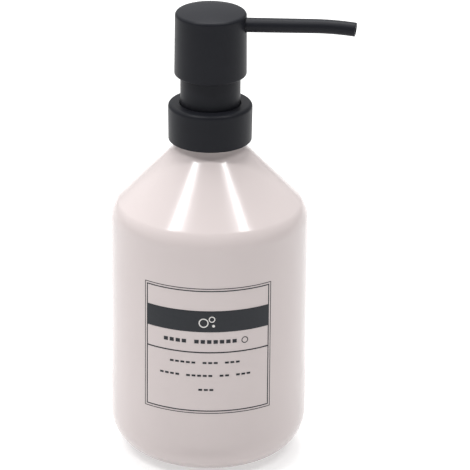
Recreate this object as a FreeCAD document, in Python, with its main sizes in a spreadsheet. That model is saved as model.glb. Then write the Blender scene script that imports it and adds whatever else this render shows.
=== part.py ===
"""Glazed ceramic liquid dispenser bottle with a screw-on lotion pump, as a parametric document.

The frame: +Z is up and is the axis of the bottle and of the pump, the origin is the centre of the
foot, the label faces -Y and the spout points near +X. All sizes are in millimetres. Nearly every
piece is turned, so most of them are a half section revolved about Z, with the sizes bound to the
spreadsheet "dims".
"""
import FreeCAD, Part
import math
import os
import Sketcher

doc = FreeCAD.newDocument("dispenser")
sheet = doc.addObject("Spreadsheet::Sheet", "dims")


class Size:
    """A number and the expression over the spreadsheet that gives it."""

    def __init__(self, value, text):
        self.value = value
        self.text = text

    def __add__(self, other):
        other = as_size(other)
        return Size(self.value + other.value, f"({self.text} + {other.text})")

    def __sub__(self, other):
        other = as_size(other)
        return Size(self.value - other.value, f"({self.text} - {other.text})")

    def __mul__(self, other):
        other = as_size(other)
        return Size(self.value * other.value, f"{self.text} * {other.text}")

    def __truediv__(self, other):
        other = as_size(other)
        return Size(self.value / other.value, f"{self.text} / {other.text}")


def as_size(value):
    return value if isinstance(value, Size) else Size(float(value), f"{float(value):.6f}")


row = 0


def dim(alias, value, note):
    """Writes one driving dimension into the spreadsheet and returns it."""
    global row
    row += 1
    sheet.set(f"A{row}", note)
    sheet.set(f"B{row}", str(value))
    sheet.setAlias(f"B{row}", alias)
    return Size(float(value), f"dims.{alias}")


# ---------------------------------------------------------------- the bottle
body_radius = dim("body_radius", 38.0, "outside radius of the body")
body_wall = dim("body_wall", 4.0, "ceramic wall")
floor_level = dim("floor_level", 5.5, "inside floor above the foot")
base_rounding = dim("base_rounding", 15.5, "outside radius between floor and wall")
inner_base_rounding = dim("inner_base_rounding", 11.5, "inside radius between floor and wall")
foot_recess_radius = dim("foot_recess_radius", 20.0, "recess inside the foot ring")
foot_recess_depth = dim("foot_recess_depth", 1.2, "depth of the recess under the floor")
shoulder_level = dim("shoulder_level", 99.7, "where wall and shoulder cone would meet")
inner_shoulder_level = dim("inner_shoulder_level", 98.1, "the same corner on the inside")
shoulder_rounding = dim("shoulder_rounding", 10.0, "outside radius of the shoulder")
inner_shoulder_rounding = dim("inner_shoulder_rounding", 6.0, "inside radius of the shoulder")
neck_radius = dim("neck_radius", 13.0, "outside radius of the ceramic neck")
neck_bore = dim("neck_bore", 10.6, "inside radius of the ceramic neck")
neck_root_level = dim("neck_root_level", 125.4, "where shoulder cone and neck meet")
inner_neck_level = dim("inner_neck_level", 122.1, "the same corner on the inside")
neck_root_rounding = dim("neck_root_rounding", 8.0, "glaze radius in the corner of the neck")
rim_level = dim("rim_level", 129.5, "top of the ceramic rim")
rim_rounding = dim("rim_rounding", 0.6, "radius on the ceramic rim")

# ------------------------------------------------------- the threaded insert
insert_bore = dim("insert_bore", 9.1, "bore of the plastic neck insert")
insert_plug_radius = dim("insert_plug_radius", 10.55, "part that is glued into the neck")
insert_plug_level = dim("insert_plug_level", 120.9, "lower end of the insert")
insert_root_radius = dim("insert_root_radius", 12.5, "thread root of the insert")
insert_top = dim("insert_top", 138.0, "sealing face of the insert")
thread_pitch = dim("thread_pitch", 4.2, "rise of the closure thread in one turn")
thread_turns = dim("thread_turns", 1.05, "turns of each thread ridge")
thread_level = dim("thread_level", 132.6, "start of the outside ridge")
thread_depth = dim("thread_depth", 1.1, "height of a ridge over its root")
thread_base = dim("thread_base", 1.7, "width of a ridge at its root")
thread_crest = dim("thread_crest", 0.8, "width of a ridge at its crest")

# --------------------------------------------------------------- the closure
nut_bore = dim("nut_bore", 13.9, "bore of the threaded nut")
nut_radius = dim("nut_radius", 14.6, "outside radius of the nut between its ribs")
nut_rib_radius = dim("nut_rib_radius", 14.93, "outside radius over the ribs")
nut_rib_width = dim("nut_rib_width", 1.2, "width of a rib on the nut")
nut_rib_count = dim("nut_rib_count", 24, "ribs round the nut")
nut_bottom = dim("nut_bottom", 128.4, "lower edge of the nut")
nut_lip_level = dim("nut_lip_level", 140.45, "underside of the lip that holds the pump down")
snap_radius = dim("snap_radius", 12.5, "bead that holds the pump's flange from below")
snap_level = dim("snap_level", 138.3, "lower edge of that bead")
nut_top = dim("nut_top", 141.55, "top of the nut")
collar_hole = dim("collar_hole", 11.75, "hole in the collar that the pump sleeve stands in")
nut_hole = dim("nut_hole", 11.9, "hole in the lip of the nut")
collar_bottom = dim("collar_bottom", 127.65, "lower edge of the collar cover")
collar_top = dim("collar_top", 142.5, "top of the collar cover")
collar_radius_low = dim("collar_radius_low", 16.05, "outside radius at the lower edge")
collar_radius_high = dim("collar_radius_high", 16.25, "outside radius at the top")
collar_bore = dim("collar_bore", 15.0, "inside radius of the collar cover")
collar_plate = dim("collar_plate", 0.9, "thickness of its top")
collar_rounding = dim("collar_rounding", 1.6, "radius round its top")

# ----------------------------------------------------------- the pump barrel
gasket_inner = dim("gasket_inner", 9.4, "gasket, inside radius")
gasket_outer = dim("gasket_outer", 12.4, "gasket, outside radius")
flange_level = dim("flange_level", 139.2, "underside of the barrel's flange")
flange_top = dim("flange_top", 140.4, "top of the barrel's flange")
flange_radius = dim("flange_radius", 12.7, "radius of the barrel's flange")
barrel_radius = dim("barrel_radius", 8.8, "outside radius of the barrel")
barrel_bore = dim("barrel_bore", 7.5, "bore that the piston runs in")
barrel_floor = dim("barrel_floor", 104.0, "ledge that carries the spring")
barrel_step = dim("barrel_step", 101.0, "end of the wide part, outside")
valve_tube_top = dim("valve_tube_top", 98.0, "start of the narrow part, outside")
valve_tube_radius = dim("valve_tube_radius", 4.9, "outside radius of the narrow part")
valve_chamber = dim("valve_chamber", 3.3, "radius of the inlet valve chamber")
seat_top = dim("seat_top", 98.5, "top of the conical inlet seat")
seat_slope = dim("seat_slope", 0.8, "radius gained per unit of height on a ball seat")
inlet_hole = dim("inlet_hole", 1.6, "radius of the hole under the inlet ball")
tube_stop = dim("tube_stop", 95.2, "face that the dip tube is pushed up to")
tube_socket = dim("tube_socket", 3.25, "bore that holds the dip tube")
barrel_bottom = dim("barrel_bottom", 85.0, "lower end of the barrel")
dip_tube_radius = dim("dip_tube_radius", 3.2, "outside radius of the dip tube")
dip_tube_bore = dim("dip_tube_bore", 2.3, "bore of the dip tube")
dip_tube_bottom = dim("dip_tube_bottom", 8.0, "lowest point of the dip tube")
dip_tube_cut = dim("dip_tube_cut", 40.0, "slant of the cut at its lower end, degrees")

# ------------------------------------------------------ retainer and sleeve
retainer_disc = dim("retainer_disc", 11.6, "disc on top of the barrel")
retainer_disc_top = dim("retainer_disc_top", 141.6, "top of that disc")
retainer_boss = dim("retainer_boss", 10.5, "boss that the sleeve fits over")
retainer_boss_top = dim("retainer_boss_top", 146.0, "top of the boss")
retainer_groove = dim("retainer_groove", 9.3, "outer radius of the groove in the boss")
retainer_groove_level = dim("retainer_groove_level", 142.4, "bottom of the groove")
retainer_tower = dim("retainer_tower", 5.2, "tower that guides the stem")
retainer_tower_top = dim("retainer_tower_top", 149.0, "top of the tower")
retainer_plug = dim("retainer_plug", 7.4, "plug inside the barrel")
retainer_plug_level = dim("retainer_plug_level", 135.65, "lower end of the plug")
guide_bore = dim("guide_bore", 3.6, "bore that the stem slides in")
sleeve_radius = dim("sleeve_radius", 11.55, "outside radius of the sleeve")
sleeve_bore = dim("sleeve_bore", 10.6, "inside radius of the sleeve")
sleeve_top = dim("sleeve_top", 158.0, "top of the sleeve")

# --------------------------------------------------------- stem and piston
stem_radius = dim("stem_radius", 3.5, "outside radius of the stem")
stem_bore = dim("stem_bore", 1.5, "bore of the stem")
stem_bottom = dim("stem_bottom", 128.0, "lower end of the stem")
stem_top = dim("stem_top", 171.0, "upper end of the stem")
stem_collar = dim("stem_collar", 4.6, "radius of the collar over the piston")
stem_collar_level = dim("stem_collar_level", 134.05, "underside of that collar")
stem_collar_top = dim("stem_collar_top", 135.5, "top of that collar")
stem_socket = dim("stem_socket", 2.6, "bore for the piston rod and the outlet ball")
stem_socket_top = dim("stem_socket_top", 136.0, "upper end of the lower socket")
outlet_seat = dim("outlet_seat", 161.0, "lower end of the conical outlet seat")
rod_shank = dim("rod_shank", 2.58, "shank pressed into the stem")
rod_shank_top = dim("rod_shank_top", 135.8, "upper end of the shank")
rod_flange = dim("rod_flange", 6.3, "flange that the spring pushes on")
rod_flange_level = dim("rod_flange_level", 126.5, "underside of the flange")
rod_spigot = dim("rod_spigot", 4.0, "spigot inside the spring")
rod_bottom = dim("rod_bottom", 123.0, "lower end of the spigot")
rod_bore = dim("rod_bore", 1.4, "bore of the piston rod")
seal_bore = dim("seal_bore", 3.55, "piston seal, bore")
seal_hub = dim("seal_hub", 4.8, "piston seal, radius of the hub")
seal_web = dim("seal_web", 6.75, "piston seal, inside of the lips")
seal_lip = dim("seal_lip", 7.44, "piston seal, radius of the lips")
seal_waist = dim("seal_waist", 7.15, "piston seal, radius between the lips")
spring_radius = dim("spring_radius", 5.2, "mean radius of the return spring")
spring_wire = dim("spring_wire", 0.45, "radius of the spring wire")
spring_turns = dim("spring_turns", 7.5, "turns of the return spring")
ball_stop_radius = dim("ball_stop_radius", 7.3, "disc under the spring")
ball_stop_top = dim("ball_stop_top", 105.2, "top of that disc")
ball_stop_plug = dim("ball_stop_plug", 3.1, "plug over the inlet ball")
ball_stop_level = dim("ball_stop_level", 102.3, "lower end of the plug")
ball_stop_slot = dim("ball_stop_slot", 1.2, "width of its cross slots")
inlet_ball_radius = dim("inlet_ball_radius", 2.4, "inlet ball")
outlet_ball_radius = dim("outlet_ball_radius", 2.2, "outlet ball")
ball_play = dim("ball_play", 0.03, "gap between a ball and its seat")

# ------------------------------------------------------------ head and spout
head_bottom = dim("head_bottom", 154.05, "lower edge of the head")
head_rim = dim("head_rim", 178.75, "where wall and dome would meet")
head_rise = dim("head_rise", 2.05, "rise of the dome over the rim")
head_radius_low = dim("head_radius_low", 13.9, "outside radius at the lower edge")
head_radius_high = dim("head_radius_high", 13.7, "outside radius at the rim")
head_bore_low = dim("head_bore_low", 12.7, "inside radius at the lower edge")
head_bore_high = dim("head_bore_high", 12.5, "inside radius under the dome")
head_ceiling = dim("head_ceiling", 177.9, "inside corner under the dome")
ceiling_rise = dim("ceiling_rise", 1.4, "rise of the ceiling over that corner")
head_rounding = dim("head_rounding", 1.0, "radius round the dome")
edge_rounding = dim("edge_rounding", 0.4, "radius on moulded edges")
spout_level = dim("spout_level", 174.0, "height of the spout's axis, carried back to Z")
spout_rise = dim("spout_rise", 3.0, "slope of the spout before its bend, degrees")
spout_turn = dim("spout_turn", -10.0, "turn of the head from +X at rest, degrees")
spout_radius = dim("spout_radius", 2.85, "outside radius of the spout")
spout_bore = dim("spout_bore", 1.8, "bore of the spout")
spout_start = dim("spout_start", 5.6, "inner end of the spout tube")
spout_bend_start = dim("spout_bend_start", 39.8, "where the spout starts to curve down")
spout_bend_radius = dim("spout_bend_radius", 110.0, "radius of that curve")
spout_bend_angle = dim("spout_bend_angle", 8.3, "angle of that curve, degrees")
spout_hole = dim("spout_hole", 2.95, "hole for the spout in the head cover")
core_hub = dim("core_hub", 5.4, "hub of the actuator core")
core_bottom = dim("core_bottom", 163.0, "lower end of the hub")
core_top = dim("core_top", 178.9, "upper end of the hub")
core_socket = dim("core_socket", 3.52, "socket that the stem is pressed into")
core_socket_top = dim("core_socket_top", 171.05, "upper end of that socket")
core_spigot = dim("core_spigot", 2.5, "spigot over the outlet ball")
core_spigot_level = dim("core_spigot_level", 166.45, "lower end of that spigot")
core_boss = dim("core_boss", 3.6, "boss round the spout")
core_boss_end = dim("core_boss_end", 9.5, "outer end of that boss")
core_spout_socket = dim("core_spout_socket", 2.88, "bore that holds the spout")
fin_width = dim("fin_width", 1.4, "thickness of a centring fin")
fin_reach = dim("fin_reach", 12.45, "outer end of a centring fin")
fin_bottom = dim("fin_bottom", 171.0, "lower edge of a centring fin")
fin_height = dim("fin_height", 5.6, "height of a centring fin")

# ----------------------------------------------------------------- the label
label_turn = dim("label_turn", -0.4, "turn of the label from -Y towards the spout, degrees")
print_thickness = dim("print_thickness", 0.1, "thickness of the fired print")
label_bottom = dim("label_bottom", 28.8, "lower edge of the outer frame")
label_height = dim("label_height", 52.1, "height of the outer frame")
label_width = dim("label_width", 52.0, "width of the outer frame round the wall")
frame_gap = dim("frame_gap", 0.9, "from the outer frame line to the inner one")
outer_line = dim("outer_line", 0.25, "width of the outer frame line")
inner_line = dim("inner_line", 0.35, "width of the inner frame line")
band_level = dim("band_level", 62.9, "lower edge of the dark band")
band_height = dim("band_height", 8.75, "height of the dark band")
rule_level = dim("rule_level", 54.2, "lower edge of the ruled line")
rule_height = dim("rule_height", 0.4, "width of the ruled line")

doc.recompute()
ZERO = as_size(0)
made = []


# ------------------------------------------------------------------- helpers
def new_body(label):
    body = doc.addObject("PartDesign::Body", label)
    body.Label = label
    made.append(body)
    return body


def sketch_on(body, role, name):
    """An empty sketch on one of the body's own origin planes."""
    sketch = body.newObject("Sketcher::SketchObject", name)
    plane = [f for f in body.Origin.OriginFeatures if f.Role == role][0]
    sketch.AttachmentSupport = (plane, [""])
    sketch.MapMode = "FlatFace"
    return sketch


def bind(item, prop, size):
    size = as_size(size)
    item.setExpression(prop, size.text)


def pin_point(sketch, geometry, end, across, up):
    """Places one end of a line, arc or circle by its two distances from the sketch's origin."""
    for kind, size, axis in (("DistanceX", across, -2), ("DistanceY", up, -1)):
        if abs(size.value) < 1e-9:
            sketch.addConstraint(Sketcher.Constraint("PointOnObject", geometry, end, axis))
        else:
            index = sketch.addConstraint(Sketcher.Constraint(kind, -1, 1, geometry, end, size.value))
            sketch.setExpression(f"Constraints[{index}]", size.text)


def draw_outline(sketch, points, domes=()):
    """A closed outline through the points. A side whose index is in domes is an arc centred on Z."""
    places = [(as_size(p[0]), as_size(p[1])) for p in points]
    count = len(places)
    for i in range(count):
        a = FreeCAD.Vector(places[i][0].value, places[i][1].value, 0)
        b = FreeCAD.Vector(places[(i + 1) % count][0].value, places[(i + 1) % count][1].value, 0)
        if i in domes:
            rise = (b.x * b.x + b.y * b.y - a.x * a.x - a.y * a.y) / (2 * (b.y - a.y))
            centre = FreeCAD.Vector(0, rise, 0)
            radius = (a - centre).Length
            turns = sorted(math.atan2(p.y - centre.y, p.x - centre.x) for p in (a, b))
            circle = Part.Circle(centre, FreeCAD.Vector(0, 0, 1), radius)
            sketch.addGeometry(Part.ArcOfCircle(circle, turns[0], turns[1]), False)
        else:
            sketch.addGeometry(Part.LineSegment(a, b), False)
    # an arc runs anticlockwise, so its first point may be the outline's second one
    first = [1] * count
    last = [2] * count
    for i in domes:
        if places[i][1].value > places[(i + 1) % count][1].value:
            first[i], last[i] = 2, 1
    for i in range(count):
        follows = (i + 1) % count
        sketch.addConstraint(Sketcher.Constraint("Coincident", i, last[i], follows, first[follows]))
    for i in range(count):
        pin_point(sketch, i, first[i], *places[i])
    for i in domes:
        sketch.addConstraint(Sketcher.Constraint("PointOnObject", i, 3, -2))
    return sketch


def turned(label, points, domes=()):
    """A body made by turning a half section about Z. Each point is (radius, height)."""
    body = new_body(label)
    sketch = sketch_on(body, "XZ_Plane", label + "_section")
    draw_outline(sketch, points, domes)
    turn = body.newObject("PartDesign::Revolution", label + "_turned")
    turn.Profile = sketch
    turn.ReferenceAxis = (sketch, ["V_Axis"])
    turn.Angle = 360
    doc.recompute()
    return body


def ring_edges(shape, places):
    """The names of the circular edges about Z at each (radius, height)."""
    names = []
    for radius, level in places:
        for i, edge in enumerate(shape.Edges, 1):
            if edge.Degenerated or edge.Curve.TypeId != "Part::GeomCircle":
                continue
            curve = edge.Curve
            near = abs(curve.Radius - radius.value) < 1e-3 and abs(curve.Center.z - level.value) < 1e-3
            if near and math.hypot(curve.Center.x, curve.Center.y) < 1e-6:
                names.append(f"Edge{i}")
    return names


def rounded(body, places, radius, name):
    """A fillet on the circular edges at the given (radius, height)."""
    places = [(as_size(r), as_size(z)) for r, z in places]
    base = body.Tip
    fillet = body.newObject("PartDesign::Fillet", name)
    fillet.Base = (base, ring_edges(base.Shape, places))
    bind(fillet, "Radius", radius)
    doc.recompute()


def spout_circle(body, name, start, *radii):
    """Circles about the spout's rising axis, on a plane across it at a distance from Z."""
    sketch = sketch_on(body, "YZ_Plane", name)
    sketch.AttachmentOffset = FreeCAD.Placement(
        FreeCAD.Vector(0, 0, 0), FreeCAD.Rotation(FreeCAD.Vector(1, 0, 0), -spout_rise.value))
    bind(sketch, "AttachmentOffset.Base.z", start)
    climb = f"{start.text} * tan(dims.spout_rise * 1 deg)"
    sketch.setExpression("AttachmentOffset.Base.y", f"dims.spout_level + {climb}")
    for radius in radii:
        middle = FreeCAD.Vector(0, 0, 0)
        circle = sketch.addGeometry(Part.Circle(middle, FreeCAD.Vector(0, 0, 1), radius.value), False)
        sketch.addConstraint(Sketcher.Constraint("Coincident", circle, 3, -1, 1))
        index = sketch.addConstraint(Sketcher.Constraint("Radius", circle, radius.value))
        sketch.setExpression(f"Constraints[{index}]", radius.text)
    return sketch


def spout_bore_cut(body, name, start, radius):
    """A round hole along the spout's axis, outwards from its start."""
    pocket = body.newObject("PartDesign::Pocket", name)
    pocket.Profile = spout_circle(body, name + "_sketch", start, radius)
    pocket.Reversed = True
    bind(pocket, "Length", head_radius_low * 1.5)
    before = body.Shape.Volume
    doc.recompute()
    if body.Shape.Volume > before - 1:
        raise RuntimeError(f"{name} cut nothing")


def centred_box_sketch(body, role, name, width, bottom, top):
    """A rectangle of a given width, centred across the sketch's vertical axis."""
    sketch = sketch_on(body, role, name)
    half = width.value / 2
    for x0, z0, x1, z1 in ((-half, bottom.value, half, bottom.value), (half, bottom.value, half, top.value),
                           (half, top.value, -half, top.value), (-half, top.value, -half, bottom.value)):
        sketch.addGeometry(Part.LineSegment(FreeCAD.Vector(x0, z0, 0), FreeCAD.Vector(x1, z1, 0)), False)
    for i in range(4):
        sketch.addConstraint(Sketcher.Constraint("Coincident", i, 2, (i + 1) % 4, 1))
    sketch.addConstraint(Sketcher.Constraint("Symmetric", 0, 1, 0, 2, -2))
    sketch.addConstraint(Sketcher.Constraint("Vertical", 1))
    sketch.addConstraint(Sketcher.Constraint("Vertical", 3))
    sketch.addConstraint(Sketcher.Constraint("Horizontal", 2))
    for kind, ends, size in (("DistanceX", (0, 1, 0, 2), width), ("DistanceY", (-1, 1, 0, 1), bottom),
                             ("DistanceY", (-1, 1, 2, 1), top)):
        index = sketch.addConstraint(Sketcher.Constraint(kind, *ends, size.value))
        sketch.setExpression(f"Constraints[{index}]", size.text)
    return sketch


def ridge(body, name, root, crest, start, sign):
    """A helical thread ridge. sign is 1 for an outside thread and -1 for an inside one."""
    sunk = thread_base * 0.1 * sign
    half_base = thread_base / 2
    half_crest = thread_crest / 2
    corners = [(root - sunk, start - half_base), (root, start - half_base), (crest, start - half_crest),
               (crest, start + half_crest), (root, start + half_base), (root - sunk, start + half_base)]
    sketch = sketch_on(body, "XZ_Plane", name + "_profile")
    draw_outline(sketch, corners if sign > 0 else corners[::-1])
    thread = body.newObject("PartDesign::AdditiveHelix", name)
    thread.Profile = sketch
    thread.ReferenceAxis = (sketch, ["V_Axis"])
    thread.Mode = 0
    bind(thread, "Pitch", thread_pitch)
    bind(thread, "Height", thread_pitch * thread_turns)
    before = body.Shape.Volume
    doc.recompute()
    if body.Shape.Volume < before + 1:
        raise RuntimeError(f"{name} added nothing")


# ------------------------------------------------------------------ ceramics
def make_bottle():
    body = turned("bottle_body", [
        (ZERO, foot_recess_depth), (foot_recess_radius, foot_recess_depth), (foot_recess_radius, ZERO),
        (body_radius, ZERO), (body_radius, shoulder_level), (neck_radius, neck_root_level),
        (neck_radius, rim_level), (neck_bore, rim_level), (neck_bore, inner_neck_level),
        (body_radius - body_wall, inner_shoulder_level), (body_radius - body_wall, floor_level),
        (ZERO, floor_level)])
    rounded(body, [(body_radius, ZERO)], base_rounding, "base_round")
    rounded(body, [(body_radius - body_wall, floor_level)], inner_base_rounding, "inner_base_round")
    rounded(body, [(body_radius, shoulder_level)], shoulder_rounding, "shoulder_round")
    inner_corner = (body_radius - body_wall, inner_shoulder_level)
    rounded(body, [inner_corner], inner_shoulder_rounding, "inner_shoulder_round")
    rounded(body, [(neck_radius, neck_root_level)], neck_root_rounding, "neck_root_round")
    rounded(body, [(neck_radius, rim_level), (neck_bore, rim_level)], rim_rounding, "rim_round")


def make_insert():
    body = turned("neck_insert", [
        (insert_bore, insert_plug_level), (insert_plug_radius, insert_plug_level),
        (insert_plug_radius, rim_level), (insert_root_radius, rim_level),
        (insert_root_radius, insert_top), (insert_bore, insert_top)])
    ridge(body, "insert_ridge", insert_root_radius, insert_root_radius + thread_depth, thread_level, 1)


# ------------------------------------------------------------------- closure
def make_nut():
    shell = turned("closure_nut", [
        (nut_bore, nut_bottom), (nut_radius, nut_bottom), (nut_radius, nut_top), (nut_hole, nut_top),
        (nut_hole, nut_lip_level), (nut_bore, nut_lip_level), (nut_bore, snap_level + 0.85),
        (snap_radius, snap_level + 0.65), (snap_radius, snap_level + 0.3), (nut_bore, snap_level)])
    rib_sketch = sketch_on(shell, "XY_Plane", "nut_rib_sketch")
    inner = nut_radius - 0.3
    corners = ((inner, -1), (nut_rib_radius, -1), (nut_rib_radius, 1), (inner, 1))
    half = nut_rib_width / 2
    for i in range(4):
        a, b = corners[i], corners[(i + 1) % 4]
        start = FreeCAD.Vector(a[0].value, a[1] * half.value, 0)
        end = FreeCAD.Vector(b[0].value, b[1] * half.value, 0)
        rib_sketch.addGeometry(Part.LineSegment(start, end), False)
    for i in range(4):
        rib_sketch.addConstraint(Sketcher.Constraint("Coincident", i, 2, (i + 1) % 4, 1))
        across, side = corners[i]
        pin_point(rib_sketch, i, 1, across, half * side)
    rib = shell.newObject("PartDesign::Pad", "nut_rib")
    rib.Profile = rib_sketch
    bind(rib, "Length", nut_top - 1.0)
    bind(rib, "Length2", (nut_bottom + 0.6) * -1)
    rib.SideType = "Two sides"
    doc.recompute()
    pattern = shell.newObject("PartDesign::PolarPattern", "nut_ribs")
    pattern.Originals = [rib]
    pattern.Axis = (rib_sketch, ["N_Axis"])
    pattern.Angle = 360
    bind(pattern, "Occurrences", nut_rib_count)
    shell.Tip = pattern
    doc.recompute()
    start = thread_level - thread_pitch / 2
    ridge(shell, "nut_ridge", nut_bore, nut_bore - thread_depth - 0.1, start, -1)


def make_collar():
    body = turned("collar_shell", [
        (collar_bore, collar_bottom), (collar_radius_low, collar_bottom), (collar_radius_high, collar_top),
        (collar_hole, collar_top), (collar_hole, collar_top - collar_plate),
        (collar_bore, collar_top - collar_plate)])
    rounded(body, [(collar_radius_high, collar_top)], collar_rounding, "collar_round")
    rounded(body, [(collar_radius_low, collar_bottom), (collar_hole, collar_top)],
            edge_rounding, "collar_edges")


# --------------------------------------------------------------- pump barrel
def make_gasket():
    turned("neck_gasket", [(gasket_inner, insert_top), (gasket_outer, insert_top),
                           (gasket_outer, flange_level), (gasket_inner, flange_level)])


def make_barrel():
    seat_bottom = seat_top - (valve_chamber - inlet_hole) / seat_slope
    body = turned("pump_barrel", [
        (barrel_bore, flange_top), (barrel_bore, barrel_floor), (valve_chamber, barrel_floor),
        (valve_chamber, seat_top), (inlet_hole, seat_bottom), (inlet_hole, tube_stop),
        (tube_socket, tube_stop), (tube_socket, barrel_bottom), (valve_tube_radius, barrel_bottom),
        (valve_tube_radius, valve_tube_top), (barrel_radius, barrel_step), (barrel_radius, flange_level),
        (flange_radius, flange_level), (flange_radius, flange_top)])
    rounded(body, [(valve_tube_radius, barrel_bottom), (barrel_radius, barrel_step)],
            edge_rounding, "barrel_edges")


def make_dip_tube():
    body = turned("dip_tube", [
        (dip_tube_bore, dip_tube_bottom), (dip_tube_radius, dip_tube_bottom),
        (dip_tube_radius, tube_stop - 0.1), (dip_tube_bore, tube_stop - 0.1)])
    rise = dip_tube_radius * 2 * math.tan(math.radians(dip_tube_cut.value))
    sketch = sketch_on(body, "XZ_Plane", "tube_cut_sketch")
    reach = dip_tube_radius + 0.01
    # the cut's triangle: from the tube's lowest point, under it, and up its other side
    draw_outline(sketch, [(ZERO - reach, dip_tube_bottom), (reach, dip_tube_bottom),
                          (reach, dip_tube_bottom + rise)])
    cut = body.newObject("PartDesign::Pocket", "tube_cut")
    cut.Profile = sketch
    cut.Midplane = True
    bind(cut, "Length", dip_tube_radius * 4)
    doc.recompute()


def make_retainer():
    body = turned("stem_retainer", [
        (guide_bore, retainer_plug_level), (retainer_plug, retainer_plug_level),
        (retainer_plug, flange_top), (retainer_disc, flange_top), (retainer_disc, retainer_disc_top),
        (retainer_boss, retainer_disc_top), (retainer_boss, retainer_boss_top),
        (retainer_groove, retainer_boss_top), (retainer_groove, retainer_groove_level),
        (retainer_tower, retainer_groove_level), (retainer_tower, retainer_tower_top),
        (guide_bore, retainer_tower_top)])
    rounded(body, [(retainer_tower, retainer_tower_top), (retainer_boss, retainer_boss_top)],
            edge_rounding, "retainer_edges")


def make_sleeve():
    body = turned("neck_sleeve", [
        (sleeve_bore, retainer_disc_top), (sleeve_radius, retainer_disc_top),
        (sleeve_radius, sleeve_top), (sleeve_bore, sleeve_top)])
    rounded(body, [(sleeve_radius, sleeve_top)], edge_rounding, "sleeve_edge")


def make_ball_stop():
    body = turned("ball_stop", [
        (inlet_hole, ball_stop_level), (ball_stop_plug, ball_stop_level), (ball_stop_plug, barrel_floor),
        (ball_stop_radius, barrel_floor), (ball_stop_radius, ball_stop_top), (inlet_hole, ball_stop_top)])
    for role in ("XZ_Plane", "YZ_Plane"):
        sketch = centred_box_sketch(body, role, "slot_" + role[:2], ball_stop_slot,
                                    ball_stop_level - 0.5, barrel_floor)
        slot = body.newObject("PartDesign::Pocket", "cross_slot_" + role[:2])
        slot.Profile = sketch
        slot.Midplane = True
        bind(slot, "Length", ball_stop_plug * 2)
        doc.recompute()


# --------------------------------------------------------- piston and spring
def make_seal():
    low = stem_bottom + 0.05
    web_low, web_high = stem_bottom + 2.3, stem_bottom + 3.7
    turned("piston_seal", [
        (seal_bore, low), (seal_hub, low), (seal_hub, web_low), (seal_web, web_low),
        (seal_web, low + 0.2), (seal_lip, low + 0.2), (seal_lip, low + 1.2), (seal_waist, low + 1.8),
        (seal_waist, low + 4.0), (seal_lip, low + 4.6), (seal_lip, low + 5.6), (seal_web, low + 5.6),
        (seal_web, web_high), (seal_hub, web_high), (seal_hub, stem_collar_level - 0.05),
        (seal_bore, stem_collar_level - 0.05)])


def make_rod():
    turned("piston_rod", [
        (rod_bore, rod_bottom), (rod_spigot, rod_bottom), (rod_spigot, rod_flange_level),
        (rod_flange, rod_flange_level), (rod_flange, stem_bottom), (rod_shank, stem_bottom),
        (rod_shank, rod_shank_top), (rod_bore, rod_shank_top)])


def make_stem():
    seat_high = outlet_seat + (stem_socket - stem_bore) / seat_slope
    turned("pump_stem", [
        (stem_socket, stem_bottom), (stem_radius, stem_bottom), (stem_radius, stem_collar_level),
        (stem_collar, stem_collar_level), (stem_collar, stem_collar_top), (stem_radius, stem_collar_top),
        (stem_radius, stem_top), (stem_socket, stem_top), (stem_socket, seat_high),
        (stem_bore, outlet_seat), (stem_bore, stem_socket_top), (stem_socket, stem_socket_top)])


def make_spring():
    """A coil from the ball stop up to the flange of the piston rod."""
    travel = rod_flange_level - ball_stop_top - spring_wire * 2.1
    helix = doc.addObject("Part::Helix", "spring_helix")
    bind(helix, "Pitch", travel / spring_turns)
    bind(helix, "Height", travel)
    bind(helix, "Radius", spring_radius)
    wire = doc.addObject("Part::Circle", "spring_wire_section")
    bind(wire, "Radius", spring_wire)
    bind(wire, "Placement.Base.x", spring_radius)
    wire.Placement.Rotation = FreeCAD.Rotation(FreeCAD.Vector(1, 0, 0), 90)
    sweep = doc.addObject("Part::Sweep", "return_spring")
    sweep.Label = "return_spring"
    sweep.Sections = [wire]
    sweep.Spine = (helix, [])
    sweep.Solid = True
    sweep.Frenet = True
    bind(sweep, "Placement.Base.z", ball_stop_top + spring_wire * 1.05)
    made.append(sweep)


def make_ball(label, radius, apex):
    """A ball that rests in a cone whose tip is at apex."""
    slope = math.atan(seat_slope.value)
    ball = doc.addObject("Part::Sphere", label)
    ball.Label = label
    bind(ball, "Radius", radius)
    bind(ball, "Placement.Base.z", apex + radius / math.sin(slope) + ball_play)
    made.append(ball)


def make_balls():
    inlet_apex = seat_top - valve_chamber / seat_slope
    make_ball("inlet_ball", inlet_ball_radius, inlet_apex)
    outlet_apex = outlet_seat - stem_bore / seat_slope
    make_ball("outlet_ball", outlet_ball_radius, outlet_apex)


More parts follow.
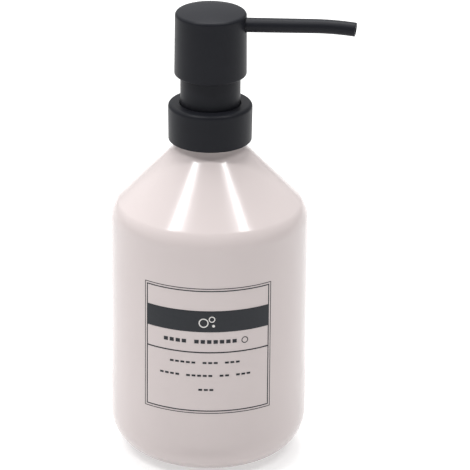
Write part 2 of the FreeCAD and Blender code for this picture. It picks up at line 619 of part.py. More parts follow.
# ------------------------------------------------------------ head and spout
def make_core():
    """The hub on the stem, the boss that holds the spout, and three fins that centre the cover."""
    body = turned("actuator_core", [
        (core_socket, core_bottom), (core_hub, core_bottom), (core_hub, core_top), (ZERO, core_top),
        (ZERO, spout_level), (stem_bore, spout_level), (stem_bore, core_spigot_level),
        (core_spigot, core_spigot_level), (core_spigot, core_socket_top), (core_socket, core_socket_top)])
    # the boss starts inside the hub's wall, clear of the bores in its middle
    boss = body.newObject("PartDesign::Pad", "spout_boss")
    boss.Profile = spout_circle(body, "boss_sketch", core_socket + 0.3, core_boss)
    bind(boss, "Length", core_boss_end - core_socket - 0.3)
    doc.recompute()
    for name, role, reverse in (("fin_back", "YZ_Plane", True), ("fin_left", "XZ_Plane", True),
                                ("fin_right", "XZ_Plane", False)):
        sketch = centred_box_sketch(body, role, name + "_sketch", fin_width, fin_bottom,
                                    fin_bottom + fin_height)
        inset = (core_socket + 0.3) * (-1 if reverse else 1)
        bind(sketch, "AttachmentOffset.Base.z", inset)
        fin = body.newObject("PartDesign::Pad", name)
        fin.Profile = sketch
        fin.Reversed = reverse
        bind(fin, "Length", fin_reach - core_socket - 0.3)
        doc.recompute()
    spout_bore_cut(body, "spout_channel", ZERO, spout_bore)
    spout_bore_cut(body, "spout_socket", spout_start, core_spout_socket)
    bind(body, "Placement.Rotation.Angle", spout_turn)


def make_head():
    body = turned("head_shell", [
        (head_bore_low, head_bottom), (head_radius_low, head_bottom), (head_radius_high, head_rim),
        (ZERO, head_rim + head_rise), (ZERO, head_ceiling + ceiling_rise), (head_bore_high, head_ceiling)],
        domes=(2, 4))
    rounded(body, [(head_radius_high, head_rim)], head_rounding, "dome_round")
    rounded(body, [(head_radius_low, head_bottom)], edge_rounding, "head_edge")
    spout_bore_cut(body, "spout_opening", core_hub, spout_hole)
    bind(body, "Placement.Rotation.Angle", spout_turn)


def make_spout():
    """A ring section swept along a rising run and one long arc that ends pointing down a little."""
    body = new_body("spout_tube")
    path = sketch_on(body, "XZ_Plane", "spout_path")
    rise = math.radians(spout_rise.value)
    bend = math.radians(spout_bend_angle.value)
    radius = spout_bend_radius.value
    start = FreeCAD.Vector(spout_start.value, spout_level.value + spout_start.value * math.tan(rise), 0)
    knee_level = spout_level.value + spout_bend_start.value * math.tan(rise)
    knee = FreeCAD.Vector(spout_bend_start.value, knee_level, 0)
    centre = FreeCAD.Vector(knee.x + radius * math.sin(rise), knee.y - radius * math.cos(rise), 0)
    path.addGeometry(Part.LineSegment(start, knee), False)
    circle = Part.Circle(centre, FreeCAD.Vector(0, 0, 1), radius)
    turn = math.pi / 2 + rise
    path.addGeometry(Part.ArcOfCircle(circle, turn - bend, turn), False)
    for end, across in ((1, spout_start), (2, spout_bend_start)):
        index = path.addConstraint(Sketcher.Constraint("DistanceX", -1, 1, 0, end, across.value))
        path.setExpression(f"Constraints[{index}]", across.text)
        level = spout_level.value + across.value * math.tan(rise)
        index = path.addConstraint(Sketcher.Constraint("DistanceY", -1, 1, 0, end, level))
        climb = f"{across.text} * tan(dims.spout_rise * 1 deg)"
        path.setExpression(f"Constraints[{index}]", f"dims.spout_level + {climb}")
    path.addConstraint(Sketcher.Constraint("Tangent", 0, 2, 1, 2))
    index = path.addConstraint(Sketcher.Constraint("Radius", 1, radius))
    path.setExpression(f"Constraints[{index}]", spout_bend_radius.text)
    reach = radius * (math.sin(rise) + math.sin(bend - rise))
    index = path.addConstraint(Sketcher.Constraint("DistanceX", 0, 2, 1, 1, reach))
    angles = "(sin(dims.spout_rise * 1 deg) + sin((dims.spout_bend_angle - dims.spout_rise) * 1 deg))"
    path.setExpression(f"Constraints[{index}]", f"dims.spout_bend_radius * {angles}")
    pipe = body.newObject("PartDesign::AdditivePipe", "spout_pipe")
    pipe.Profile = spout_circle(body, "spout_ring", spout_start, spout_radius, spout_bore)
    pipe.Spine = path
    bind(body, "Placement.Rotation.Angle", spout_turn)
    doc.recompute()


# --------------------------------------------------------------------- label
def printed(name, width, height, bottom, shift=ZERO):
    """A patch of fired print on the wall: width round the wall, height and bottom along Z."""
    degrees = 180 / math.pi
    patch_solids = []
    for part, radius in (("ink", body_radius + print_thickness), ("wall", body_radius)):
        sector = doc.addObject("Part::Cylinder", name + "_" + part)
        bind(sector, "Radius", radius)
        bind(sector, "Height", height)
        bind(sector, "Angle", width / body_radius * degrees)
        bind(sector, "Placement.Base.z", bottom)
        turn = label_turn - 90 - (width / 2 - shift) / body_radius * degrees
        bind(sector, "Placement.Rotation.Angle", turn)
        patch_solids.append(sector)
    patch = doc.addObject("Part::Cut", name)
    patch.Base, patch.Tool = patch_solids
    return patch


def frame_line(name, inset, line):
    """A rectangular line of the label's frame, set in from the outer edge."""
    outer = printed(name + "_outer", label_width - inset * 2, label_height - inset * 2, label_bottom + inset)
    edge = inset + line
    inner = printed(name + "_inner", label_width - edge * 2, label_height - edge * 2, label_bottom + edge)
    # the inner block is thicker than the print, so that the cut leaves no skin
    for item in inner.Base, inner.Tool:
        offset = 1.0 if item == inner.Base else -1.0
        bind(item, "Radius", body_radius + offset)
    ring = doc.addObject("Part::Cut", name)
    ring.Base, ring.Tool = outer, inner
    return ring


# a heading and a paragraph of plain bars: (centre round the wall, width) for each row
TEXT_ROWS = (
    ("heading", 58.1, 1.6, ((-13.4, 7.8), (2.4, 18.6))),
    ("first_row", 49.6, 1.0, ((-10.3, 9.0), (-1.0, 6.0), (8.2, 9.6))),
    ("second_row", 44.2, 1.0, ((-14.6, 9.0), (-3.6, 9.2), (5.4, 5.0), (13.6, 8.2))),
    ("third_row", 38.3, 1.0, ((-0.6, 5.8),)),
)


def make_label():
    outer = frame_line("outer_frame", ZERO, outer_line)
    inner = frame_line("inner_frame", frame_gap, inner_line)
    across = label_width - (frame_gap + inner_line) * 2 - 0.02
    band = printed("band", across, band_height, band_level)
    rule = printed("rule", across, rule_height, rule_level)
    marks = [outer, inner, band, rule]
    for name, level, height, bars in TEXT_ROWS:
        for number, (centre, width) in enumerate(bars, 1):
            marks.append(printed(f"{name}_{number}", as_size(width), as_size(height), as_size(level),
                                 as_size(centre)))
    label = doc.addObject("Part::Compound", "label_print")
    label.Label = "label_print"
    label.Links = marks
    made.append(label)


make_bottle()
make_insert()
make_label()
make_nut()
make_collar()
make_gasket()
make_barrel()
make_dip_tube()
make_retainer()
make_sleeve()
make_ball_stop()
make_seal()
make_rod()
make_stem()
make_spring()
make_balls()
make_core()
make_head()
make_spout()
doc.recompute()

failed = [item.Name for item in doc.Objects if {"Invalid", "Error"} & set(item.State)]
if failed:
    raise RuntimeError(f"these objects failed: {failed}")
for item in made:
    if item.Shape.isNull() or not item.Shape.isValid() or not item.Shape.Solids:
        raise RuntimeError(f"{item.Label} has no valid solid")

os.makedirs("parts", exist_ok=True)
for item in made:
    item.Shape.exportStep(f"parts/{item.Label}.step")
    box = item.Shape.BoundBox
    print(f"{item.Label:16} solids {len(item.Shape.Solids):2}  volume {item.Shape.Volume:10.1f} mm3  "
          f"z {box.ZMin:7.2f} to {box.ZMax:7.2f}")
print(len(made), "pieces written")
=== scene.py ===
# %% [markdown]
# # A glazed bottle with a screw-on pump
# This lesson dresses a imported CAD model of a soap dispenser. The CAD parts stay as the fixed frame.
# The pieces that the eye sees are modelled again here with finer rounds, and the pieces inside the
# bottle keep their CAD shape and get a finish of their own. Everything is in metres, +Z is up, the
# printed label faces -Y and the spout points near +X.

# %% Load the frame
import bmesh
import bpy
import math
from mathutils import Matrix, Vector


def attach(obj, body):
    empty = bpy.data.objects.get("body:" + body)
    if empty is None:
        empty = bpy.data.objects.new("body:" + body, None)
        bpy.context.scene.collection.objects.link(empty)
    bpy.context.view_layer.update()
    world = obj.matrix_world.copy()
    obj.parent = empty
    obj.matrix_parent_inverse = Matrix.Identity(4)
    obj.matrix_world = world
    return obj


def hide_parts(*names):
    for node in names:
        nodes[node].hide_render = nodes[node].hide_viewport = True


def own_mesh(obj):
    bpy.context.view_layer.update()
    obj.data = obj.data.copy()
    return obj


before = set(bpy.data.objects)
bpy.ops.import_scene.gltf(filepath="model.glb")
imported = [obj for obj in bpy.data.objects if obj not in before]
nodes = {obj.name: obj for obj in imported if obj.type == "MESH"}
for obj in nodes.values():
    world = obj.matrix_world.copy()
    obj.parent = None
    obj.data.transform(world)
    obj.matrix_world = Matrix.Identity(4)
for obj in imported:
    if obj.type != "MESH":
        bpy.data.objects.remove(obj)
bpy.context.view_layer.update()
MM = 0.001

# %% [markdown]
# ## Helpers for turned pieces
# Nearly every visible piece was turned or moulded round one axis. By hand one adds a circle and
# extrudes it ring by ring, up the outside and back down the inside. Spinning a drawn profile would
# also work, but rings are easy to find again when an edge is rounded afterwards.

# %% Deselect, and move between the two modes
def deselect_all():
    if bpy.context.object and bpy.context.object.mode != "OBJECT":
        bpy.ops.object.mode_set(mode="OBJECT")
    bpy.ops.object.select_all(action="DESELECT")


def pick(piece):
    """Makes a piece the only selected object, and the active one."""
    deselect_all()
    piece.select_set(True)
    bpy.context.view_layer.objects.active = piece


def edit(piece):
    pick(piece)
    bpy.ops.object.mode_set(mode="EDIT")


def apply_place(piece):
    """Puts a piece's place into its mesh, so that its object is at the origin."""
    pick(piece)
    bpy.ops.object.transform_apply(location=True, rotation=True, scale=True)


def apply_modifiers(piece):
    pick(piece)
    for modifier in list(piece.modifiers):
        bpy.ops.object.modifier_apply(modifier=modifier.name)


# %% Extrude a circle through a list of rings
def turned(name, rings, sides=128, closed=False):
    """Each ring is (radius, height) in millimetres. closed joins the last ring to the first."""
    deselect_all()
    radius, level = rings[0]
    bpy.ops.mesh.primitive_circle_add(vertices=sides, radius=radius * MM, location=(0, 0, level * MM))
    piece = bpy.context.object
    piece.name = piece.data.name = name
    apply_place(piece)
    edit(piece)
    bpy.ops.mesh.select_all(action="SELECT")
    path = rings[1:] + (rings[:1] if closed else [])
    for next_radius, next_level in path:
        bpy.ops.mesh.extrude_region_move(TRANSFORM_OT_translate={"value": (0, 0, (next_level - level) * MM)})
        grow = next_radius / radius
        bpy.ops.transform.resize(value=(grow, grow, 1), center_override=(0, 0, next_level * MM))
        radius, level = next_radius, next_level
    bpy.ops.mesh.select_all(action="SELECT")
    bpy.ops.mesh.remove_doubles(threshold=1e-7)
    if not closed:
        bpy.ops.mesh.fill_holes(sides=0)
    bpy.ops.mesh.select_all(action="SELECT")
    bpy.ops.mesh.normals_make_consistent(inside=False)
    bpy.ops.object.mode_set(mode="OBJECT")
    return piece


# %% Round one ring of edges
def round_ring(piece, radius, level, width, steps):
    """Bevels the ring at (radius, height). width is how far the round runs back along each wall."""
    edit(piece)
    bpy.ops.mesh.select_mode(type="EDGE")
    bpy.ops.mesh.select_all(action="DESELECT")
    net = bmesh.from_edit_mesh(piece.data)
    found = 0
    for edge in net.edges:
        on_ring = all(
            abs(math.hypot(v.co.x, v.co.y) - radius * MM) < 2e-6 and abs(v.co.z - level * MM) < 2e-6
            for v in edge.verts)
        edge.select_set(on_ring)
        found += on_ring
    bmesh.update_edit_mesh(piece.data)
    if not found:
        raise RuntimeError(f"{piece.name} has no ring at {radius}, {level}")
    bpy.ops.mesh.bevel(offset=width * MM, segments=steps, profile=0.5, affect="EDGES")
    bpy.ops.object.mode_set(mode="OBJECT")


# %% Smooth shading that keeps flat walls flat
def smooth(piece, angle=40):
    pick(piece)
    bpy.ops.object.shade_smooth_by_angle(angle=math.radians(angle))
    weighted = piece.modifiers.new("even_normals", "WEIGHTED_NORMAL")
    weighted.keep_sharp = True
    weighted.weight = 90
    apply_modifiers(piece)
    print(piece.name, len(piece.data.polygons), "faces")


# %% [markdown]
# ## The ceramic bottle
# The real bottle is cast in stoneware: a straight wall, a wide round at the foot, a crisp shoulder
# and a sloping cone that runs into the neck with a soft hollow. A closed outline is extruded from
# the recess under the foot, up the outside, over the rim and down the inside to the floor.

# %% The bottle's sizes in millimetres, as in the CAD
WALL = 38.0
INNER_WALL = 34.0
FLOOR = 5.5
SHOULDER = 99.7
INNER_SHOULDER = 98.1
NECK = 13.0
NECK_ROOT = 125.4
BORE = 10.6
BORE_ROOT = 122.1
RIM = 129.5
FOOT_RECESS = 20.0
RECESS_DEPTH = 1.2

# %% Extrude the bottle
bottle = turned("glazed_bottle", [
    (FOOT_RECESS - 0.4, RECESS_DEPTH), (FOOT_RECESS, 0.0), (WALL, 0.0), (WALL, SHOULDER),
    (NECK, NECK_ROOT), (NECK, RIM), (BORE, RIM), (BORE, BORE_ROOT),
    (INNER_WALL, INNER_SHOULDER), (INNER_WALL, FLOOR)], sides=192)

# %% Round its foot, shoulder and neck
# a round runs back along its walls by its radius times the tangent of half the corner's turn
SQUARE = 1.0
CONE_CORNER = math.tan(math.radians(22.1))
for ring_radius, ring_level, round_radius, half, steps in (
        (WALL, 0.0, 15.5, SQUARE, 20), (INNER_WALL, FLOOR, 11.5, SQUARE, 10),
        (WALL, SHOULDER, 10.0, CONE_CORNER, 14), (INNER_WALL, INNER_SHOULDER, 6.0, CONE_CORNER, 6),
        (NECK, NECK_ROOT, 8.0, CONE_CORNER, 10), (BORE, RIM, 0.6, SQUARE, 4), (NECK, RIM, 0.6, SQUARE, 4)):
    round_ring(bottle, ring_radius, ring_level, round_radius * half, steps)
smooth(bottle)

# %% [markdown]
# ## The collar, the sleeve and the head
# These are the black mouldings that show. The collar is a cap with a hole in its top, the sleeve is
# a plain tube that stands in that hole, and the head is a cup with a shallow dome. Each is a closed
# section, so it has a real inside.

# %% Collar
COLLAR_FOOT = 127.65
COLLAR_TOP = 142.5
COLLAR_FOOT_RADIUS = 16.05
COLLAR_TOP_RADIUS = 16.25
COLLAR_BORE = 15.0
COLLAR_HOLE = 11.75
SEAT = 141.6
collar = turned("pump_collar", [
    (COLLAR_BORE, COLLAR_FOOT), (COLLAR_FOOT_RADIUS, COLLAR_FOOT), (COLLAR_TOP_RADIUS, COLLAR_TOP),
    (COLLAR_HOLE, COLLAR_TOP), (COLLAR_HOLE, SEAT), (COLLAR_BORE, SEAT)], closed=True)
round_ring(collar, COLLAR_TOP_RADIUS, COLLAR_TOP, 1.6, 8)
round_ring(collar, COLLAR_FOOT_RADIUS, COLLAR_FOOT, 0.4, 4)
round_ring(collar, COLLAR_HOLE, COLLAR_TOP, 0.25, 4)
smooth(collar)

# %% Sleeve
SLEEVE = 11.55
SLEEVE_BORE = 10.6
SLEEVE_TOP = 158.0
sleeve = turned("pump_sleeve", [
    (SLEEVE_BORE, SEAT), (SLEEVE, SEAT), (SLEEVE, SLEEVE_TOP), (SLEEVE_BORE, SLEEVE_TOP)], closed=True)
round_ring(sleeve, SLEEVE, SLEEVE_TOP, 0.4, 4)
smooth(sleeve)


# %% Rings of a shallow dome
def dome(rim_radius, rim_level, rise, steps=8):
    """Rings from near the crown out to the rim of a spherical cap."""
    ball = (rim_radius ** 2 + rise ** 2) / (2 * rise)
    rings = []
    for step in range(1, steps + 1):
        radius = rim_radius * step / steps
        rings.append((radius, rim_level + rise - ball + math.sqrt(ball ** 2 - radius ** 2)))
    return [(0.5, rim_level + rise)] + rings


# %% Head
HEAD_FOOT = 154.05
HEAD_FOOT_RADIUS = 13.9
HEAD_TOP = 178.75
HEAD_TOP_RADIUS = 13.7
HEAD_WALL = 1.2
outside = dome(HEAD_TOP_RADIUS, HEAD_TOP, 2.05)
inside = dome(HEAD_TOP_RADIUS - HEAD_WALL, 177.9, 1.4)
mouth = [(HEAD_FOOT_RADIUS, HEAD_FOOT), (HEAD_FOOT_RADIUS - HEAD_WALL, HEAD_FOOT)]
head = turned("pump_head", outside + mouth + inside[::-1])
round_ring(head, HEAD_TOP_RADIUS, HEAD_TOP, 1.0, 6)
round_ring(head, HEAD_FOOT_RADIUS, HEAD_FOOT, 0.75, 5)

# %% [markdown]
# ## The spout
# The spout is a thin moulded tube. It leaves the head rising a little, runs straight, and bows down
# towards its tip, where it is a trifle thinner. A ring is extruded in short steps, and each step
# is turned and shrunk about the ring's own centre. Solidify then gives the tube its wall.

# %% The spout's line
SPOUT_RISE = math.radians(3.0)
SPOUT_BEND = math.radians(8.3)
SPOUT_TURN = math.radians(-10.0)
ROOT_REACH = 5.6
BEND_REACH = 39.8
SPOUT_LEVEL = 174.0
SPOUT_ROOT = Vector((ROOT_REACH, 0, SPOUT_LEVEL + ROOT_REACH * math.tan(SPOUT_RISE)))
STRAIGHT_RUN = (BEND_REACH - ROOT_REACH) / math.cos(SPOUT_RISE)
BEND_RUN = 110.0 * SPOUT_BEND
ROOT_RADIUS = 2.85
BEND_RADIUS = 2.75
TIP_RADIUS = 2.7


def along(angle):
    return Vector((math.cos(angle), 0, math.sin(angle)))


# %% Extrude the spout
deselect_all()
bpy.ops.mesh.primitive_circle_add(
    vertices=48, radius=ROOT_RADIUS * MM, location=SPOUT_ROOT * MM,
    rotation=(0, math.radians(90) - SPOUT_RISE, 0))
spout = bpy.context.object
spout.name = spout.data.name = "pump_spout"
apply_place(spout)
edit(spout)
bpy.ops.mesh.select_all(action="SELECT")
centre = SPOUT_ROOT.copy()
heading = SPOUT_RISE
radius = ROOT_RADIUS
moves = []
for run, turn, first, last, count in (
        (STRAIGHT_RUN, 0.0, ROOT_RADIUS, BEND_RADIUS, 4),
        (BEND_RUN, SPOUT_BEND, BEND_RADIUS, TIP_RADIUS, 16)):
    for i in range(1, count + 1):
        moves.append((run / count, turn / count, first + (last - first) * i / count))
for length, bend, next_radius in moves:
    step = along(heading - bend / 2) * length
    bpy.ops.mesh.extrude_region_move(TRANSFORM_OT_translate={"value": step * MM})
    centre += step
    heading -= bend
    shrink = next_radius / radius
    radius = next_radius
    bpy.ops.transform.resize(value=(shrink,) * 3, center_override=centre * MM)
    if bend:
        bpy.ops.transform.rotate(value=-bend, orient_axis="Y", center_override=centre * MM)
bpy.ops.mesh.select_all(action="SELECT")
bpy.ops.mesh.normals_make_consistent(inside=False)
bpy.ops.object.mode_set(mode="OBJECT")
print("spout tip", [round(v, 2) for v in centre], "radius", round(radius, 3))

# %% Give the spout its wall, and turn it to its rest direction
wall = spout.modifiers.new("wall", "SOLIDIFY")
wall.thickness = 1.0 * MM
wall.offset = -1
edge = spout.modifiers.new("edge", "BEVEL")
edge.width = 0.2 * MM
edge.segments = 3
edge.limit_method = "ANGLE"
edge.angle_limit = math.radians(50)
apply_modifiers(spout)
spout.rotation_euler.z = SPOUT_TURN
apply_place(spout)
smooth(spout)

# %% Cut the spout's opening in the head
deselect_all()
bpy.ops.mesh.primitive_cylinder_add(
    vertices=48, radius=(ROOT_RADIUS + 0.1) * MM, depth=16 * MM,
    location=(SPOUT_ROOT + along(SPOUT_RISE) * 8) * MM, rotation=(0, math.radians(90) - SPOUT_RISE, 0))
drill = bpy.context.object
apply_place(drill)
drill.rotation_euler.z = SPOUT_TURN
apply_place(drill)
hole = head.modifiers.new("opening", "BOOLEAN")
hole.object = drill
hole.operation = "DIFFERENCE"
hole.solver = "EXACT"
apply_modifiers(head)
bpy.data.objects.remove(drill)
smooth(head)

# %% [markdown]
# ## The return spring
# The spring stands in the barrel and closes up when the head is pressed. Its wire starts as a small
# upright circle beside Z, and a Screw modifier winds it. It takes the place of the CAD coil, which
# can't shorten.

# %% Wind the spring
SPRING_FOOT = 105.2
SPRING_TOP = 126.5
WIRE_RADIUS = 0.45
COIL_RADIUS = 5.2
TURNS = 7.5
deselect_all()
bpy.ops.mesh.primitive_circle_add(
    vertices=12, radius=WIRE_RADIUS * MM, rotation=(math.radians(90), 0, 0),
    location=(COIL_RADIUS * MM, 0, (SPRING_FOOT + 1.05 * WIRE_RADIUS) * MM))
spring = bpy.context.object
spring.name = spring.data.name = "coil_spring"
apply_place(spring)
winding = spring.modifiers.new("winding", "SCREW")
winding.angle = math.radians(360 * TURNS)
winding.screw_offset = (SPRING_TOP - SPRING_FOOT - 2.1 * WIRE_RADIUS) * MM
winding.steps = winding.render_steps = round(32 * TURNS)
apply_modifiers(spring)
edit(spring)
bpy.ops.mesh.select_all(action="SELECT")
bpy.ops.mesh.fill_holes(sides=0)
bpy.ops.mesh.select_all(action="SELECT")
bpy.ops.mesh.normals_make_consistent(inside=False)
bpy.ops.object.mode_set(mode="OBJECT")
smooth(spring)

# %% [markdown]
# ## The printed label
# The label is a ceramic transfer: dark ink fired on to the wall, 0.05 mm proud. A patch starts as a
# tiny upright plane beside the wall and is spun about Z, which bends it round the bottle exactly.
# It carries no words or marks. Rows of plain dashes and a few bubbles keep the layout.

# %% Spin a patch of ink
LABEL_TURN = -0.4


def patch(name, left, right, bottom, top, proud=0.05):
    """left and right are millimetres round the wall from the label's middle."""
    deselect_all()
    low = WALL - 0.06
    high = WALL + proud
    bpy.ops.mesh.primitive_plane_add(size=1, rotation=(math.radians(90), 0, 0))
    ink = bpy.context.object
    ink.name = ink.data.name = name
    ink.scale = ((high - low) * MM, (top - bottom) * MM, 1)
    ink.location = ((high + low) / 2 * MM, 0, (top + bottom) / 2 * MM)
    apply_place(ink)
    ink.rotation_euler.z = math.radians(LABEL_TURN - 90) + left / WALL
    apply_place(ink)
    edit(ink)
    bpy.ops.mesh.select_all(action="SELECT")
    steps = max(2, math.ceil((right - left) / 0.8))
    bpy.ops.mesh.spin(steps=steps, angle=-(right - left) / WALL, center=(0, 0, 0), axis=(0, 0, 1))
    bpy.ops.mesh.select_all(action="SELECT")
    bpy.ops.mesh.remove_doubles(threshold=1e-8)
    bpy.ops.mesh.normals_make_consistent(inside=False)
    bpy.ops.object.mode_set(mode="OBJECT")
    return ink


# %% Join several pieces into one
def joined(name, pieces):
    deselect_all()
    for item in pieces:
        item.select_set(True)
    bpy.context.view_layer.objects.active = pieces[0]
    bpy.ops.object.join()
    result = bpy.context.object
    result.name = result.data.name = name
    print(name, len(result.data.polygons), "faces")
    return result


# %% Frame, band and rule
def frame_lines(half, bottom, top, line):
    return [patch("line", -half, half, top - line, top), patch("line", -half, half, bottom, bottom + line),
            patch("line", -half, -half + line, bottom, top), patch("line", half - line, half, bottom, top)]


LABEL_HALF = 26.0
LABEL_FOOT = 28.8
LABEL_TOP = 80.9
LINE_GAP = 0.9
BAND_HALF = 25.0
marks = frame_lines(LABEL_HALF, LABEL_FOOT, LABEL_TOP, 0.28)
marks += frame_lines(LABEL_HALF - LINE_GAP, LABEL_FOOT + LINE_GAP, LABEL_TOP - LINE_GAP, 0.42)
marks.append(patch("band", -BAND_HALF, BAND_HALF, 62.9, 71.65, 0.052))
marks.append(patch("rule", -BAND_HALF, BAND_HALF, 54.15, 54.65))
print(len(marks), "lines")

# %% One dash for each size, copied along its rows
def dash_row(level, height, width, pitch, words, start):
    """words lists the dashes in each group. One dash is modelled and copied with its own mesh."""
    first = patch("dash", 0, width, level - height / 2, level + height / 2)
    made = [first]
    place = start
    for count in words:
        for _ in range(count):
            twin = first.copy()
            twin.data = first.data.copy()
            bpy.context.collection.objects.link(twin)
            twin.rotation_euler.z = place / WALL
            apply_place(twin)
            made.append(twin)
            place += pitch
        place += pitch
    bpy.data.objects.remove(made.pop(0))
    return made


marks += dash_row(58.9, 1.5, 1.7, 2.45, (4, 7), -17.3)
marks += dash_row(50.1, 0.8, 1.5, 2.15, (5, 3, 3), -14.7)
marks += dash_row(44.7, 0.8, 1.5, 2.15, (4, 5, 2, 3), -18.9)
marks += dash_row(38.8, 0.8, 1.5, 2.15, (3,), -3.4)
label = joined("label_ink", marks)


# %% Bubbles, pressed on to the wall
def bubble(name, across, level, radius, line, proud):
    """A small ring, or a dot where line is None, laid on the wall by Shrinkwrap."""
    deselect_all()
    bpy.ops.mesh.primitive_circle_add(
        vertices=40, radius=radius * MM, fill_type="NGON", rotation=(math.radians(90), 0, 0),
        location=(0, -(WALL + 2) * MM, level * MM))
    ring = bpy.context.object
    ring.name = ring.data.name = name
    apply_place(ring)
    edit(ring)
    bpy.ops.mesh.select_all(action="SELECT")
    bpy.ops.mesh.inset(thickness=(line or radius * 0.5) * MM)
    if line:
        bpy.ops.mesh.delete(type="FACE")
    bpy.ops.object.mode_set(mode="OBJECT")
    press = ring.modifiers.new("press", "SHRINKWRAP")
    press.target = bottle
    press.wrap_method = "PROJECT"
    press.use_project_y = True
    press.use_positive_direction = press.use_negative_direction = True
    press.offset = proud * MM
    body = ring.modifiers.new("body", "SOLIDIFY")
    body.thickness = 0.03 * MM
    body.offset = 0
    apply_modifiers(ring)
    ring.rotation_euler.z = math.radians(LABEL_TURN) + across / WALL
    apply_place(ring)
    return ring


light_bubbles = joined("band_bubbles", [
    bubble("bubble", -1.5, 66.7, 1.9, 0.42, 0.075), bubble("bubble", 1.7, 68.2, 1.25, 0.36, 0.075),
    bubble("bubble", 2.3, 65.5, 0.55, None, 0.075)])
dark_bubble = bubble("row_bubble", 14.6, 58.9, 1.35, 0.35, 0.04)
label = joined("label_ink", [label, dark_bubble])

# %% [markdown]
# ## Finishes
# Each finish is a Principled shader with a little procedural variation. Numbers that are the same
# everywhere go straight on the shader's sockets. Patterns read Object coordinates, which are metres,
# so a noise scale of 1000 gives grains of about a millimetre.

# %% A base for all finishes
def shade(name, colour, second, patch_scale, roughness, spread, grain_scale, grain_depth, **sockets):
    """A colour that drifts between two shades, roughness that varies a little, and a fine bump."""
    material = bpy.data.materials.new(name)
    material.use_nodes = True
    tree = material.node_tree
    shader = tree.nodes["Principled BSDF"]
    place = tree.nodes.new("ShaderNodeTexCoord")
    drift = tree.nodes.new("ShaderNodeTexNoise")
    drift.inputs["Scale"].default_value = patch_scale
    drift.inputs["Detail"].default_value = 4
    tree.links.new(place.outputs["Object"], drift.inputs["Vector"])
    mix = tree.nodes.new("ShaderNodeMix")
    mix.data_type = "RGBA"
    mix.inputs["A"].default_value = (*colour, 1)
    mix.inputs["B"].default_value = (*second, 1)
    tree.links.new(drift.outputs["Fac"], mix.inputs["Factor"])
    tree.links.new(mix.outputs["Result"], shader.inputs["Base Color"])
    grain = tree.nodes.new("ShaderNodeTexNoise")
    grain.inputs["Scale"].default_value = grain_scale
    grain.inputs["Detail"].default_value = 3
    tree.links.new(place.outputs["Object"], grain.inputs["Vector"])
    rough = tree.nodes.new("ShaderNodeMapRange")
    rough.inputs["To Min"].default_value = roughness - spread
    rough.inputs["To Max"].default_value = roughness + spread
    tree.links.new(grain.outputs["Fac"], rough.inputs["Value"])
    tree.links.new(rough.outputs["Result"], shader.inputs["Roughness"])
    bump = tree.nodes.new("ShaderNodeBump")
    bump.inputs["Strength"].default_value = 0.6
    bump.inputs["Distance"].default_value = grain_depth * MM
    tree.links.new(grain.outputs["Fac"], bump.inputs["Height"])
    tree.links.new(bump.outputs["Normal"], shader.inputs["Normal"])
    for socket, value in sockets.items():
        shader.inputs[socket.replace("_", " ")].default_value = value
    return material


def dress(piece, material):
    piece.data.materials.clear()
    piece.data.materials.append(material)
    return piece


# %% [markdown]
# The glaze is a thick, slightly wavy coat of white glass with a warm pink cast. The foot ring is
# wiped bare before firing, so the faces that stand on the table show dry stoneware.

# %% Glaze and bare clay
glaze = shade("pinkish_glaze", (0.605, 0.542, 0.534), (0.565, 0.502, 0.494), 18, 0.17, 0.03, 90, 0.05,
              Coat_Weight=0.05, Coat_Roughness=0.06, Specular_IOR_Level=0.26)
clay = shade("bare_stoneware", (0.62, 0.55, 0.47), (0.50, 0.44, 0.37), 600, 0.85, 0.1, 2500, 0.08)
dress(bottle, glaze)
bottle.data.materials.append(clay)
bare = 0
for face in bottle.data.polygons:
    if face.center.z < 0.2 * MM and 0.0198 < math.hypot(face.center.x, face.center.y) < 0.0235:
        face.material_index = 1
        bare += 1
print(bare, "bare faces under the foot")

# %% Black mouldings and ink
black = shade("black_satin_plastic", (0.0105, 0.0112, 0.0145), (0.0135, 0.0142, 0.0180),
              120, 0.42, 0.06, 5200, 0.02, Specular_IOR_Level=0.12)
ink_black = shade("fired_ink", (0.013, 0.015, 0.019), (0.018, 0.020, 0.025), 900, 0.35, 0.06, 3500, 0.006,
                  Specular_IOR_Level=0.25)
ink_light = shade("light_ink", (0.72, 0.70, 0.68), (0.66, 0.64, 0.62), 900, 0.3, 0.05, 3500, 0.006)
for part in (collar, sleeve, head, spout):
    dress(part, black)
dress(label, ink_black)
dress(light_bubbles, ink_light)

# %% Pieces inside, in their own plastics and steels
white = shade("white_moulding", (0.74, 0.74, 0.71), (0.68, 0.68, 0.65), 200, 0.34, 0.06, 4200, 0.015)
natural = shade("natural_moulding", (0.66, 0.69, 0.69), (0.58, 0.62, 0.63), 160, 0.22, 0.05, 3000, 0.01,
                Subsurface_Weight=0.15)
foam = shade("foamed_gasket", (0.72, 0.72, 0.68), (0.60, 0.60, 0.57), 1400, 0.8, 0.08, 3600, 0.06)
soft = shade("soft_seal", (0.55, 0.58, 0.58), (0.48, 0.51, 0.52), 300, 0.45, 0.06, 2600, 0.02)
wire = shade("drawn_spring_wire", (0.52, 0.52, 0.53), (0.42, 0.42, 0.43), 2500, 0.28, 0.08, 9000, 0.006,
             Metallic=1.0)
polished = shade("polished_ball", (0.72, 0.72, 0.73), (0.64, 0.64, 0.66), 700, 0.1, 0.04, 6000, 0.002,
                 Metallic=1.0)
inner_finish = {
    "neck_insert": white, "closure_nut": white, "ball_stop": white, "piston_rod": white, "pump_stem": white,
    "actuator_core": white, "pump_barrel": natural, "dip_tube": natural, "stem_retainer": black,
    "neck_gasket": foam, "piston_seal": soft, "inlet_ball": polished, "outlet_ball": polished}
for node, material in inner_finish.items():
    dress(nodes[node], material)
dress(spring, wire)
print(len(inner_finish), "inner pieces dressed")
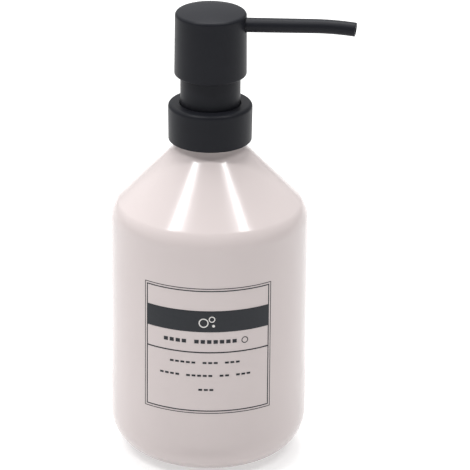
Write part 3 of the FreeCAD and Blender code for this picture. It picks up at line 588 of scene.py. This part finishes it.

# %% [markdown]
# ## Riding on the frame
# Each new piece takes the place of a CAD node and moves with that node's body, so the head can be
# pressed and turned and the collar can be unscrewed.

# %% Ride and replace; each row also names a slot
for piece, body, node, slot in (
        (bottle, "bottle", "bottle_body", "glaze"), (label, "bottle", "label_print", "print"),
        (collar, "collar", "collar_shell", "black_plastic"), (sleeve, "pump", "neck_sleeve", "black_plastic"),
        (head, "head", "head_shell", "black_plastic"), (spout, "head", "spout_tube", "black_plastic"),
        (spring, "pump", "return_spring", "steel")):
    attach(piece, body)
    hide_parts(node)
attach(light_bubbles, "bottle")
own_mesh(spring)

# %% [markdown]
# ## Floor, light and camera
# A pale floor and soft light from all round, as in a small product studio. Two narrow soft boxes
# above left and right draw the two bright streaks down the shoulder, and a wide one overhead lights
# the dome and the spout.

# %% Floor, a sheet that glows a little, so that the shadow under the foot stays pale
deselect_all()
bpy.ops.mesh.primitive_plane_add(size=6)
floor = bpy.context.object
floor.name = "studio_floor"
dress(floor, shade("pale_paper", (0.59, 0.59, 0.59), (0.61, 0.61, 0.61), 3, 0.9, 0.02, 400, 0.02,
                   Emission_Color=(1, 1, 1, 1), Emission_Strength=0.45))

# %% World
world = bpy.data.worlds.new("studio")
bpy.context.scene.world = world
world.use_nodes = True
sky = world.node_tree
direction = sky.nodes.new("ShaderNodeTexCoord")
split = sky.nodes.new("ShaderNodeSeparateXYZ")
sky.links.new(direction.outputs["Generated"], split.inputs["Vector"])


def sky_fade(axis, low, high, dark, bright):
    """Strength that grows from dark to bright as the direction turns along an axis."""
    fade = sky.nodes.new("ShaderNodeMapRange")
    fade.inputs["From Min"].default_value = low
    fade.inputs["From Max"].default_value = high
    fade.inputs["To Min"].default_value = dark
    fade.inputs["To Max"].default_value = bright
    sky.links.new(split.outputs[axis], fade.inputs["Value"])
    return fade.outputs["Result"]


strength = sky_fade("Z", 0.0, 1.0, 0.18, 1.2)
for other_fade in (sky_fade("Y", -0.9, 1.0, 0.05, 1.6), sky_fade("X", -1.0, 1.0, 1.4, 0.65)):
    product = sky.nodes.new("ShaderNodeMath")
    product.operation = "MULTIPLY"
    sky.links.new(strength, product.inputs[0])
    sky.links.new(other_fade, product.inputs[1])
    strength = product.outputs["Value"]
sky.links.new(strength, sky.nodes["Background"].inputs["Strength"])
sky.nodes["Background"].inputs["Color"].default_value = (1, 1, 1, 1)


# %% Soft boxes
def soft_box(name, direction, distance, width, height, lean, watts):
    """An area light that faces the shoulder from a direction, its long side leaning by an angle."""
    light = bpy.data.lights.new(name, "AREA")
    light.shape = "RECTANGLE"
    light.size = width
    light.size_y = height
    light.energy = watts
    lamp = bpy.data.objects.new(name, light)
    bpy.context.collection.objects.link(lamp)
    aim = Vector((0, 0, 0.11))
    way = Vector(direction).normalized()
    lamp.location = aim + way * distance
    facing = way.to_track_quat("Z", "Y").to_matrix() @ Matrix.Rotation(math.radians(lean), 3, "Z")
    lamp.rotation_euler = facing.to_euler()
    return lamp


soft_box("left_box", (-0.426, -0.259, 0.866), 1.3, 0.12, 0.46, -27, 8.0)
soft_box("right_box", (0.436, -0.255, 0.863), 1.3, 0.10, 0.46, 27, 5.5)
soft_box("top_box", (0, 0.25, 0.97), 1.2, 0.6, 0.6, 0, 10.0)

# %% Camera
camera_data = bpy.data.cameras.new("camera")
camera_data.lens = 341.8
camera_data.sensor_width = 36
camera_data.clip_end = 20
camera = bpy.data.objects.new("camera", camera_data)
bpy.context.collection.objects.link(camera)
CAMERA_PLACE = (0.0099, -1.5985, 0.7438)
LOOK_DOWN = math.radians(22.32)
CAMERA_ROLL = math.radians(0.513)
tilt = Matrix.Rotation(math.pi / 2 - LOOK_DOWN, 4, "X") @ Matrix.Rotation(CAMERA_ROLL, 4, "Z")
camera.matrix_world = Matrix.Translation(CAMERA_PLACE) @ tilt
bpy.context.scene.camera = camera
bpy.context.scene.view_settings.view_transform = "Standard"
